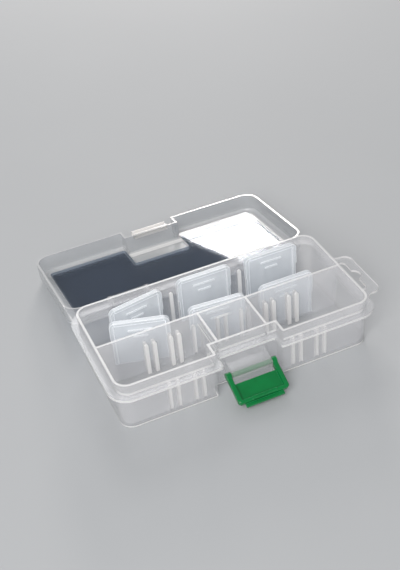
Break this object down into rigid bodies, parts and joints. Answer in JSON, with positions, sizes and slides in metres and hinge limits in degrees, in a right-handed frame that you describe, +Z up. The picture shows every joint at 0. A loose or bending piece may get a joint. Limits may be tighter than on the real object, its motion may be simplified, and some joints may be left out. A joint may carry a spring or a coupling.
{
  "type": "compartment box",
  "caption": "Flat hinged storage box of frosted plastic with fixed and loose dividers, a sunk lid panel, a swing latch and a hang tab.",
  "frame": {"origin": "middle of the tray's flat underside, on the surface the box stands on", "axes": "+X along the box towards the hang tab, +Y from the latch to the hinge, +Z up; the lid lies open behind the tray as in the picture"},
  "size_m": [0.1986, 0.2009, 0.0365],
  "materials": {
    "frosted_plastic": "milky translucent polypropylene, satin",
    "clear_plastic": "clearer translucent polypropylene, glossy",
    "divider_plastic": "translucent polypropylene, satin",
    "green_plastic": "opaque glossy green"
  },
  "bodies": {
    "tray": {"tray": "frosted_plastic"},
    "lid": {"lid": "clear_plastic"},
    "latch": {"latch": "green_plastic"},
    "divider_rear_left": {"divider_rear_left": "divider_plastic"},
    "divider_rear_middle": {"divider_rear_middle": "divider_plastic"},
    "divider_rear_right": {"divider_rear_right": "divider_plastic"},
    "divider_front_left": {"divider_front_left": "divider_plastic"},
    "divider_front_middle": {"divider_front_middle": "divider_plastic"},
    "divider_front_right": {"divider_front_right": "divider_plastic"}
  },
  "joints": [
    {"name": "lid_hinge", "type": "hinge", "parent": "tray", "child": "lid", "pos_m": [0, 0.04767, 0.0289], "axis": [-1, 0, 0], "range_deg": [-188.8, 0]},
    {"name": "latch_pivot", "type": "hinge", "parent": "tray", "child": "latch", "pos_m": [0, -0.042, 0.0152], "axis": [1, 0, 0], "range_deg": [-114, 11]},
    {"name": "divider_rear_left_lift", "type": "slide", "parent": "tray", "child": "divider_rear_left", "axis": [0, 0, 1], "range_m": [0, 0.04]},
    {"name": "divider_rear_middle_lift", "type": "slide", "parent": "tray", "child": "divider_rear_middle", "axis": [0, 0, 1], "range_m": [0, 0.04]},
    {"name": "divider_rear_right_lift", "type": "slide", "parent": "tray", "child": "divider_rear_right", "axis": [0, 0, 1], "range_m": [0, 0.04]},
    {"name": "divider_front_left_lift", "type": "slide", "parent": "tray", "child": "divider_front_left", "axis": [0, 0, 1], "range_m": [0, 0.04]},
    {"name": "divider_front_middle_lift", "type": "slide", "parent": "tray", "child": "divider_front_middle", "axis": [0, 0, 1], "range_m": [0, 0.04]},
    {"name": "divider_front_right_lift", "type": "slide", "parent": "tray", "child": "divider_front_right", "axis": [0, 0, 1], "range_m": [0, 0.04]}
  ]
}
